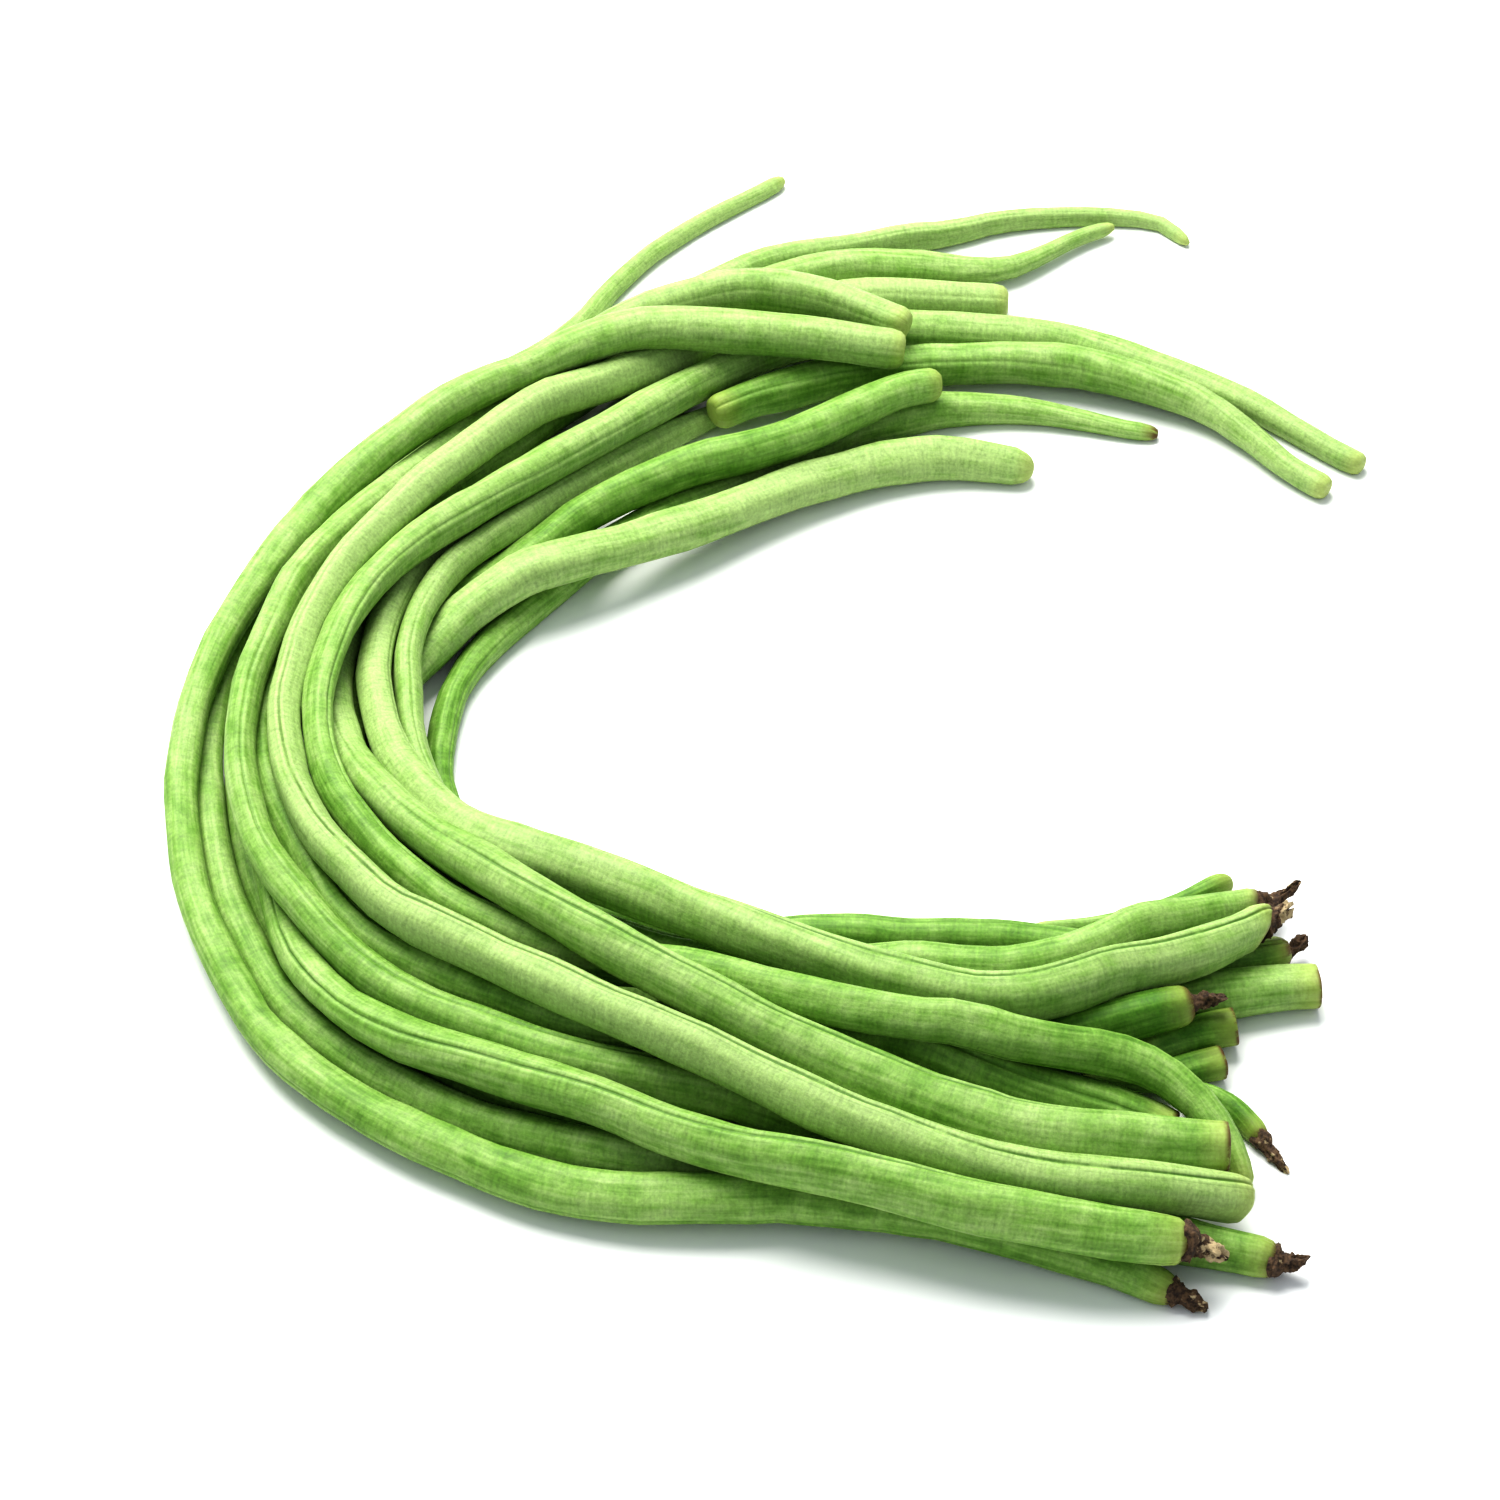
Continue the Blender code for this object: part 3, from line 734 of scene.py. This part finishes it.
def seamRelief(details, turn, share):
    # A groove with a low ridge on each side, at the two seams
    fromSeam = np.abs(np.mod(turn / math.pi, 1) - 0.5) * math.pi * podShape["seamRadius"]
    groove = np.exp(-((fromSeam / podShape["seamWidth"]) ** 2))
    ridge = np.exp(-(((fromSeam - podShape["ridgePlace"]) / podShape["ridgeWidth"]) ** 2))
    faint, left = podShape["faintSeam"], podShape["tipSeam"]
    shown = (faint + (1 - faint) * details["mark"]) * (left + (1 - left) * seamsShown(share))
    return shown * (podShape["seamRidge"] * ridge - podShape["seamDepth"] * groove)


def fluteShare(name, turn, stations, ring):
    # Shallow flutes that turn slowly round the pod on their way along it
    change = podShape["flatterChange"] * waves(name, stations, waveSeeds["flatter"])
    flatter = podShape["flatter"] + change
    seeds = waveSeeds["flutes"]
    drifts = [podShape["fluteDrift"] * slowWaves(name, stations, seed)[ring] for seed in seeds]
    flutes = flatter[ring] * np.cos(2 * turn) + podShape["flutes"] * np.cos(3 * turn + drifts[0])
    return flutes + 0.5 * podShape["flutes"] * np.cos(5 * turn - drifts[1])


def shapePod(pod, name, length, stations, radii):
    # Gives each ring its radius, its seams and its swellings
    details = pods[name]
    places = placesOf(pod.data)
    ring = np.rint(places[:, 0] / length * (len(stations) - 1)).astype(int)
    turn = np.arctan2(places[:, 2], places[:, 1])
    turn = turn + 0.5 * podShape["seamCrowd"] * np.sin(2 * turn)
    along = stations[ring]
    radius = ringRadii(name, length, stations, radii)
    full = np.minimum(1, radius / podShape["seamFull"])
    relief = seamRelief(details, turn, (stations / length)[ring]) * full[ring]
    reach = radius[ring] * (1 - fluteShare(name, turn, stations, ring)) + relief
    places = np.stack([along, reach * np.cos(turn), reach * np.sin(turn)], axis=1)
    sideways = np.stack([waves(name, stations, seed) for seed in waveSeeds["wander"]], axis=1)
    places[:, 1:] += podShape["wander"] * sideways[ring]
    if "slant" in details:
        amount, side = details["slant"]
        nearStem = eased(1 - along / podShape["slantReach"])
        places[:, 0] += amount * 0.5 * (1 + np.cos(turn - math.radians(side))) * nearStem
    movePlaces(pod.data, places)
    return along, turn


def unwrapPod(pod, along, turn):
    # The map's first number is the way around as a share, its second the way along in metres
    mesh = pod.data
    corners = np.empty(len(mesh.loops), int)
    mesh.loops.foreach_get("vertex_index", corners)
    around = np.mod(turn / (2 * math.pi), 1)[corners]
    starts = np.empty(len(mesh.polygons), int)
    mesh.polygons.foreach_get("loop_start", starts)
    # A side face that spans the start of the map gets all its corners past it
    highest = np.maximum.reduceat(around, starts)
    counts = np.diff(np.append(starts, len(corners)))
    around += (np.repeat(highest, counts) - around > 0.5) & (np.repeat(counts, counts) == 4)
    mesh.uv_layers.active.name = "UVMap"
    uv = np.stack([around, along[corners]], axis=1)
    mesh.uv_layers.active.data.foreach_set("uv", uv.ravel())


def markPod(pod, name, length, along):
    # What the skin's material reads: the ends' colours, the tone with its painted shade, the seams
    # and the pod's own seed
    details = pods[name]
    near = np.zeros(len(along))
    rim = np.zeros(len(along))
    for end, distance in {"stem": along, "tip": length - along}.items():
        near = np.maximum(near, 1 - eased(distance / endColours[end + "Tint"]))
        if details[end] in ("cup", "dry", "cut"):
            reach = details.get("rim", endColours["cutRim" if details[end] == "cut" else "dryRim"])
            rim = np.maximum(rim, 1 - eased((distance - endColours["rimStart"]) / reach))
    addMark(pod.data, "nearEnd", near)
    addMark(pod.data, "atRim", rim)
    # The tone: the pod's own paleness, paler toward the tip, and painted shade in the pods that
    # lie under others
    change = np.interp(along / length, podShape["toneShares"], podShape["toneChange"])
    addMark(pod.data, "toneAndShade", details["toneAndShade"] + change)
    addMark(pod.data, "seed", np.full(len(along), int(name[-2:]) * podShape["patternStep"]))
    addMark(pod.data, "seamMark", details["mark"] * seamsShown(along / length))
    return rim


def openCut(pod):
    # A snapped stem end: a low rim round a slightly hollow face
    pod.data.vertices.foreach_set("select", np.zeros(len(pod.data.vertices), bool))
    pod.data.edges.foreach_set("select", np.zeros(len(pod.data.edges), bool))
    for face in pod.data.polygons:
        face.select = len(face.vertices) > 4 and abs(face.center.x) < cutShape["nearEnd"]
    bpy.ops.object.mode_set(mode="EDIT")
    bpy.ops.mesh.select_mode(type="FACE")
    for shrink, sink in cutShape["steps"]:
        bpy.ops.mesh.extrude_region_move()
        bpy.ops.transform.resize(value=(1, shrink, shrink), center_override=(0, 0, 0))
        bpy.ops.transform.translate(value=(sink, 0, 0))
    bpy.ops.object.mode_set(mode="OBJECT")


def facesInCut(pod, stemRadius):
    # The faces inside the rim of a cut stem end
    centres = np.array([face.center for face in pod.data.polygons])
    out = np.hypot(centres[:, 1], centres[:, 2])
    return (centres[:, 0] < cutShape["depth"]) & (out < cutShape["inside"] * stemRadius)


def markSpot(pod, name, length, along, rim, places):
    # A brown mark on the upper side. The vertices of a cut face are the last ones and stay clear.
    band = places[:len(along)].copy()
    band[np.abs(length - along - pods[name]["spot"]) > endColours["spotBand"], 2] = 0
    top = band[band[:, 2].argmax()]
    away = np.linalg.norm(places[:len(rim)] - top, axis=1)
    spot = endColours["spotStrength"] * (1 - eased(away / endColours["spot"]))
    marked = np.zeros(len(places))
    marked[:len(rim)] = np.maximum(rim, spot)
    pod.data.attributes["atRim"].data.foreach_set("value", marked)


def addPod(name, skin, flesh):
    details = pods[name]
    middles, radii = courseOf(name, details.get("startsLeft", False))
    radii[0] = radii[1]
    radii[-1] = radii[-2]
    points = smoothCourse(middles, podShape["courseSpacing"])
    pointsAlong = lengthsAlong(points)
    length = pointsAlong[-1]
    stations = ringStations(length)
    cadShares = lengthsAlong(middles) / lengthsAlong(middles)[-1]
    stationRadii = np.interp(stations / length, cadShares, radii)
    pod = straightTube(name + "_skin", podShape["sides"], length, len(stations) - 2)
    along, turn = shapePod(pod, name, length, stations, stationRadii)
    unwrapPod(pod, along, turn)
    rim = markPod(pod, name, length, along)
    onlyThis(pod)
    inCut = np.zeros(len(pod.data.polygons), bool)
    if details["stem"] == "cut":
        openCut(pod)
        inCut = facesInCut(pod, stationRadii[0])
    seamShares, seamTurns = zip(*details["seam"])
    tilts = np.radians(np.interp(pointsAlong / length, seamShares, seamTurns))
    tilts += math.radians(podShape["roll"]) * slowWaves(name, pointsAlong, waveSeeds["roll"])
    layAlong(pod, points, tilts)
    places = keepOffTable(pod.data)
    if "spot" in details:
        markSpot(pod, name, length, along, rim, places)
    bpy.ops.object.shade_smooth_by_angle(angle=math.radians(podShape["smoothAngle"]))
    finishPiece(pod, [skin, flesh], name)
    pod.data.polygons.foreach_set("material_index", inCut.astype(int))


# The dry flower cups

cupShape = {
    "sides": 24,
    "rings": 26,
    "courseSpacing": 0.0004,
    "inside": 0.0012,  # how far the cup starts inside the pod's end
    "shares": (0, 0.22, 0.36, 0.6, 1),  # of the length, for the five widths below
    "gripWidths": (1, 0.9, 0.6),  # shares of the width at the pod
    "stalkWidths": (1.1, 0.8),  # shares of the CAD stalk's
    "crumple": 0.5,  # share of the radius
    "folds": (3.5, 1.7),  # noise along and across
    "closing": 0.12,  # the share of the length over which the end closes
    "endLeft": 0.25,  # the share of the radius left there
    "lobesFrom": 0.3,  # share of the length
    "fadeFrom": 0.15,
    "fadeOver": 0.7,
    "smoothAngle": 60,
}

# For each dry cup: its width at the pod as a share of the pod's, its ragged lobes, how far they
# stand out, and how faded its tip is
cups = {
    "calyx_01": {"grip": 0.92, "lobes": 3, "ragged": 0.0012, "fade": 0.30},
    "calyx_02": {"grip": 0.90, "lobes": 2, "ragged": 0.0012, "fade": 0.10},
    "calyx_03": {"grip": 0.90, "lobes": 4, "ragged": 0.0014, "fade": 0.6},
    "calyx_10": {"grip": 0.88, "lobes": 2, "ragged": 0.0018, "fade": 0.65},
    "calyx_11": {"grip": 0.92, "lobes": 3, "ragged": 0.0010, "fade": 0.25},
    "calyx_12": {"grip": 0.5, "lobes": 3, "ragged": 0.0008, "fade": 0.05},
    "calyx_14": {"grip": 0.5, "lobes": 2, "ragged": 0.0012, "fade": 0.15},
    "calyx_19": {"grip": 0.92, "lobes": 3, "ragged": 0.0014, "fade": 0.40},
}


def cupCourse(node, podName, podMiddles):
    # Points from inside the pod's end out to the stalk's end, and the stalk's own radius
    middles, radii = courseOf(node)
    fromPod = np.linalg.norm(middles - podMiddles[0], axis=1)
    if fromPod[0] > fromPod[-1]:
        middles = middles[::-1]
        radii = radii[::-1]
    inward = podMiddles[1] - podMiddles[0]
    inside = cupShape["inside"] + 0.5 * pods[podName].get("slant", (0, 0))[0]
    start = podMiddles[0] + inward / np.linalg.norm(inward) * inside
    points = smoothCourse(np.vstack([start, middles]), cupShape["courseSpacing"])
    return points, radii[len(radii) // 2]


def crumples(share, turn, number):
    # Three layers of noise, each finer and lower
    height = np.zeros(len(share))
    lengthwise, size = cupShape["folds"]
    for place in range(len(share)):
        across = math.cos(turn[place]) * size
        up = math.sin(turn[place]) * size + number
        where = Vector((share[place] * lengthwise, across, up))
        height[place] = noise.noise(where) + 0.6 * noise.noise(where * 2.1)
        height[place] += 0.45 * noise.noise(where * 4.3)
    return height


def addCup(node, dry):
    details = cups[node]
    number = int(node[-2:])
    podName = f"pod_{number:02d}"
    podMiddles, podRadii = courseOf(podName)
    points, stalk = cupCourse(node, podName, podMiddles)
    length = lengthsAlong(points)[-1]
    cup = straightTube(node + "_dry", cupShape["sides"], length, cupShape["rings"])
    places = placesOf(cup.data)
    share = places[:, 0] / length
    turn = np.arctan2(places[:, 2], places[:, 1])
    grip = details["grip"] * podRadii[1]
    widths = [grip * width for width in cupShape["gripWidths"]]
    widths += [stalk * width for width in cupShape["stalkWidths"]]
    radius = np.interp(share, cupShape["shares"], widths)
    folds = crumples(share, turn, number)
    radius *= 1 + cupShape["crumple"] * folds * (0.5 + share)
    closed = np.sqrt(np.clip((1 - share) / cupShape["closing"], 0, 1))
    radius *= cupShape["endLeft"] + (1 - cupShape["endLeft"]) * closed
    lobes = np.cos(details["lobes"] * turn + number) + 0.5 * folds
    x = places[:, 0] + details["ragged"] * lobes * np.clip(share - cupShape["lobesFrom"], 0, 1)
    movePlaces(cup.data, np.stack([x, radius * np.cos(turn), radius * np.sin(turn)], axis=1))
    fade = eased((share - cupShape["fadeFrom"]) / cupShape["fadeOver"])
    addMark(cup.data, "fade", details["fade"] * fade)
    layAlong(cup, points, np.zeros(len(points)))
    keepOffTable(cup.data)
    bpy.ops.object.shade_smooth_by_angle(angle=math.radians(cupShape["smoothAngle"]))
    finishPiece(cup, [dry], node)


# The floor and the light

studio = {
    "floorTones": ((0.87, 0.88, 0.88, 1), (0.89, 0.89, 0.89, 1)),
    "floorClouds": 3,
    "floorRoughness": 0.7,
    "floorSide": 8.0,
    "skyColour": (0.90, 0.96, 1.0, 1),
    "skyStrength": 0.52,
    "keyPlace": (-0.3, 0.6, 1.1),  # over the bunch, a little behind it
    "keySize": 1.2,
    "keyPower": 29.0,
    "keyColour": (1.0, 0.985, 0.95),
    "viewTransform": "Standard",
    "viewLook": "High Contrast",
}


def addFloor():
    bpy.ops.mesh.primitive_plane_add(size=studio["floorSide"], location=(0, 0, 0))
    floor = bpy.context.object
    floor.name = "floor"
    white = Surface("whiteTable")
    cloud = white.noise(white.objectPlace(), studio["floorClouds"])
    base = white.blend(cloud, *studio["floorTones"])
    material = white.finish({"Base Color": base, "Roughness": studio["floorRoughness"]})
    floor.data.materials.append(material)


def addLights():
    scene = bpy.context.scene
    scene.world = bpy.data.worlds.new("studio")
    scene.world.use_nodes = True
    sky = scene.world.node_tree.nodes["Background"]
    sky.inputs["Color"].default_value = studio["skyColour"]
    sky.inputs["Strength"].default_value = studio["skyStrength"]
    place = Vector(studio["keyPlace"])
    turn = place.to_track_quat("Z", "Y").to_euler()
    bpy.ops.object.light_add(type="AREA", location=place, rotation=turn)
    key = bpy.context.object
    key.data.shape = "DISK"
    key.data.size = studio["keySize"]
    key.data.energy = studio["keyPower"]
    key.data.color = studio["keyColour"]
    scene.view_settings.view_transform = studio["viewTransform"]
    scene.view_settings.look = studio["viewLook"]


addCamera()
addLights()
addFloor()
print("camera, light and table stand")

skin = podSkin()
flesh = cutFlesh()
dry = dryCup()
print("materials are mixed")

for name in pods:
    addPod(name, skin, flesh)
print("pods are laid:", len(pods))

for node in cups:
    addCup(node, dry)
print("dry cups sit on the stem ends:", len(cups))
